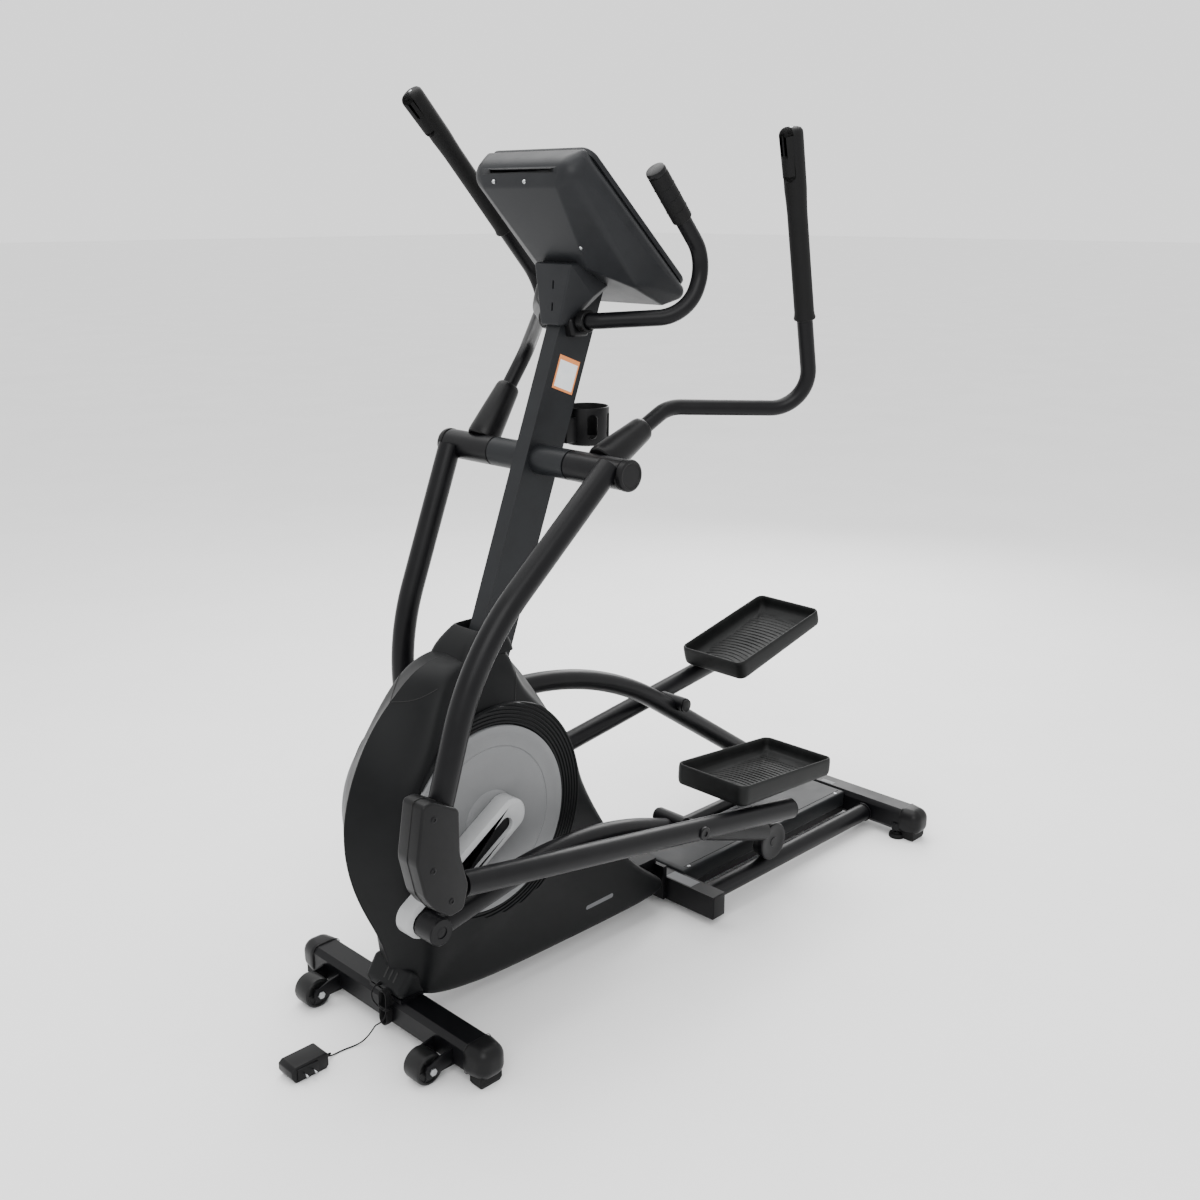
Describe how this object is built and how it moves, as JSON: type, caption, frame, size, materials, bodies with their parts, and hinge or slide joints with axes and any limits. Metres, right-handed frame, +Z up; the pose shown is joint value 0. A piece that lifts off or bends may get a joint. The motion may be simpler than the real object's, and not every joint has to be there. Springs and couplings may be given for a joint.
{
  "type": "elliptical trainer",
  "caption": "Front-drive elliptical trainer with swinging handlebars, roller-track pedal rails, shrouded crank and flywheel, console and fixed pulse grips.",
  "frame": {"origin": "on the floor, under the middle of the machine's bounding box without the power lead", "axes": "+X towards the rear, where the user stands; -Y is the user's left side; +Z up"},
  "size_m": [1.7701, 0.7588, 1.8328],
  "materials": {
    "frame_paint": "satin black powder coat",
    "mast_paint": "satin dark grey powder coat",
    "shroud_plastic": "fine-grained black moulding",
    "cover_plastic": "black moulding",
    "console_plastic": "dark grey moulding",
    "screen_plastic": "glossy black",
    "key_plastic": "light grey",
    "disc_plastic": "mid grey moulding",
    "crank_cover_plastic": "light grey moulding",
    "steel": "turned steel",
    "cast": "machined cast iron",
    "bronze": "sintered bronze",
    "rubber": "soft black",
    "grip_foam": "moulded grip",
    "pedal_plastic": "ribbed black moulding",
    "roller_plastic": "hard black nylon",
    "lead_sleeve": "black PVC"
  },
  "bodies": {
    "frame": {"front_stabiliser": "frame_paint", "rear_stabiliser": "frame_paint", "stabiliser_caps": "cover_plastic", "main_frame": "frame_paint", "mast": "mast_paint", "shroud_left": "shroud_plastic", "shroud_right": "shroud_plastic", "nose_cover": "cover_plastic", "mast_collar": "cover_plastic", "swing_shaft": "steel", "swing_bushes": "bronze", "shaft_caps": "cover_plastic", "rail_frame": "frame_paint", "rail_cover": "frame_paint", "crank_bearings": "steel", "drive_belt": "rubber", "servo_motor": "cover_plastic", "console_back": "console_plastic", "console_face": "screen_plastic", "bracket_cover": "console_plastic", "pulse_bar": "frame_paint", "pulse_grips": "grip_foam", "bottle_holder": "cover_plastic", "power_socket": "cover_plastic", "power_lead": "lead_sleeve", "lead_hank": "lead_sleeve", "power_adapter": "cover_plastic"},
    "crank": {"crank_axle": "steel", "drive_pulley": "cover_plastic", "crank_discs": "disc_plastic", "crank_covers": "crank_cover_plastic", "crank_arms": "frame_paint"},
    "flywheel": {"flywheel": "cast"},
    "brake": {"brake_arm": "steel"},
    "left_transport_wheel": {"transport_wheel_left": "roller_plastic"},
    "left_levelling_foot": {"levelling_foot_left": "rubber"},
    "left_swing_arm": {"swing_arm_left": "frame_paint", "handle_boot_left": "cover_plastic", "handlebar_left": "frame_paint", "grip_left": "grip_foam", "pivot_cover_left": "cover_plastic"},
    "left_pedal_arm": {"pedal_arm_left": "frame_paint", "pedal_left": "pedal_plastic"},
    "left_stride_rail": {"stride_rail_left": "frame_paint"},
    "left_roller_axle": {"roller_axle_left": "steel"},
    "left_roller": {"roller_left": "roller_plastic"},
    "right_transport_wheel": {"transport_wheel_right": "roller_plastic"},
    "right_levelling_foot": {"levelling_foot_right": "rubber"},
    "right_swing_arm": {"swing_arm_right": "frame_paint", "handle_boot_right": "cover_plastic", "handlebar_right": "frame_paint", "grip_right": "grip_foam", "pivot_cover_right": "cover_plastic"},
    "right_pedal_arm": {"pedal_arm_right": "frame_paint", "pedal_right": "pedal_plastic"},
    "right_stride_rail": {"stride_rail_right": "frame_paint"},
    "right_roller_axle": {"roller_axle_right": "steel"},
    "right_roller": {"roller_right": "roller_plastic"},
    "start_key": {"console_key_start": "key_plastic"},
    "stop_key": {"console_key_stop": "key_plastic"}
  },
  "joints": [
    {"name": "left_swing", "type": "hinge", "parent": "frame", "child": "left_swing_arm", "pos_m": [-0.2924, -0.184, 1.11], "axis": [0, -1, 0], "range_deg": [0, 26.28]},
    {"name": "right_swing", "type": "hinge", "parent": "frame", "child": "right_swing_arm", "pos_m": [-0.2924, 0.184, 1.11], "axis": [0, -1, 0], "range_deg": [-29.68, 0]},
    {"name": "left_lower_pivot", "type": "hinge", "parent": "left_swing_arm", "child": "left_pedal_arm", "pos_m": [-0.74302, -0.235, 0.41655], "axis": [0, -1, 0], "range_deg": [-18.23, 0]},
    {"name": "left_cross_pivot", "type": "hinge", "parent": "left_pedal_arm", "child": "left_stride_rail", "pos_m": [-0.05048, -0.17, 0.29577], "axis": [0, -1, 0], "range_deg": [-6.55, 0]},
    {"name": "left_roller_travel", "type": "slide", "parent": "frame", "child": "left_roller_axle", "axis": [1, 0, 0], "range_m": [0, 0.39259]},
    {"name": "left_roller_spin", "type": "hinge", "parent": "left_roller_axle", "child": "left_roller", "pos_m": [0.32675, -0.141, 0.1], "axis": [0, 1, 0], "continuous": true},
    {"name": "right_lower_pivot", "type": "hinge", "parent": "right_swing_arm", "child": "right_pedal_arm", "pos_m": [-0.36373, 0.235, 0.28608], "axis": [0, -1, 0], "range_deg": [0, 19.8]},
    {"name": "right_cross_pivot", "type": "hinge", "parent": "right_pedal_arm", "child": "right_stride_rail", "pos_m": [0.33254, 0.17, 0.38314], "axis": [0, -1, 0], "range_deg": [0, 6.71]},
    {"name": "right_roller_travel", "type": "slide", "parent": "frame", "child": "right_roller_axle", "axis": [1, 0, 0], "range_m": [-0.41076, 0]},
    {"name": "right_roller_spin", "type": "hinge", "parent": "right_roller_axle", "child": "right_roller", "pos_m": [0.64949, 0.141, 0.1], "axis": [0, 1, 0], "continuous": true},
    {"name": "crank_spin", "type": "hinge", "parent": "frame", "child": "crank", "pos_m": [-0.5224, 0, 0.435], "axis": [0, -1, 0], "continuous": true},
    {"name": "flywheel_spin", "type": "hinge", "parent": "frame", "child": "flywheel", "pos_m": [-0.3304, 0, 0.232], "axis": [0, -1, 0], "continuous": true},
    {"name": "brake_swing", "type": "hinge", "parent": "frame", "child": "brake", "pos_m": [-0.3084, -0.055, 0.11], "axis": [0, -1, 0], "range_deg": [-4, 0], "stiffness_Nm_per_rad": 0.5, "springref_deg": 1.15},
    {"name": "left_transport_wheel_spin", "type": "hinge", "parent": "frame", "child": "left_transport_wheel", "pos_m": [-0.7624, -0.184, 0.0325], "axis": [0, 1, 0], "continuous": true},
    {"name": "right_transport_wheel_spin", "type": "hinge", "parent": "frame", "child": "right_transport_wheel", "pos_m": [-0.7624, 0.184, 0.0325], "axis": [0, 1, 0], "continuous": true},
    {"name": "left_foot_turn", "type": "hinge", "parent": "frame", "child": "left_levelling_foot", "pos_m": [0.7626, -0.238, 0.006], "axis": [0, 0, 1], "continuous": true},
    {"name": "right_foot_turn", "type": "hinge", "parent": "frame", "child": "right_levelling_foot", "pos_m": [0.7626, 0.238, 0.006], "axis": [0, 0, 1], "continuous": true},
    {"name": "start_key_press", "type": "slide", "parent": "frame", "child": "start_key", "axis": [-0.682, 0, -0.7314], "range_m": [0, 0.0015], "stiffness_N_per_m": 400, "springref_m": -0.001},
    {"name": "stop_key_press", "type": "slide", "parent": "frame", "child": "stop_key", "axis": [-0.682, 0, -0.7314], "range_m": [0, 0.0015], "stiffness_N_per_m": 400, "springref_m": -0.001}
  ],
  "couplings": [
    {"joint": "right_swing", "follows": "left_swing", "ratio": -1.074},
    {"joint": "left_lower_pivot", "follows": "left_swing", "ratio": -0.65894},
    {"joint": "left_cross_pivot", "follows": "left_swing", "ratio": -0.23552},
    {"joint": "left_roller_travel", "follows": "left_swing", "m_per_rad": 0.81321},
    {"joint": "left_roller_spin", "follows": "left_swing", "ratio": 24.131},
    {"joint": "right_lower_pivot", "follows": "left_swing", "ratio": 0.71601},
    {"joint": "right_cross_pivot", "follows": "left_swing", "ratio": 0.24125},
    {"joint": "right_roller_travel", "follows": "left_swing", "m_per_rad": -0.85094},
    {"joint": "right_roller_spin", "follows": "left_swing", "ratio": -25.251},
    {"joint": "crank_spin", "follows": "left_swing", "ratio": 3.8057},
    {"joint": "flywheel_spin", "follows": "left_swing", "ratio": 19.485}
  ]
}
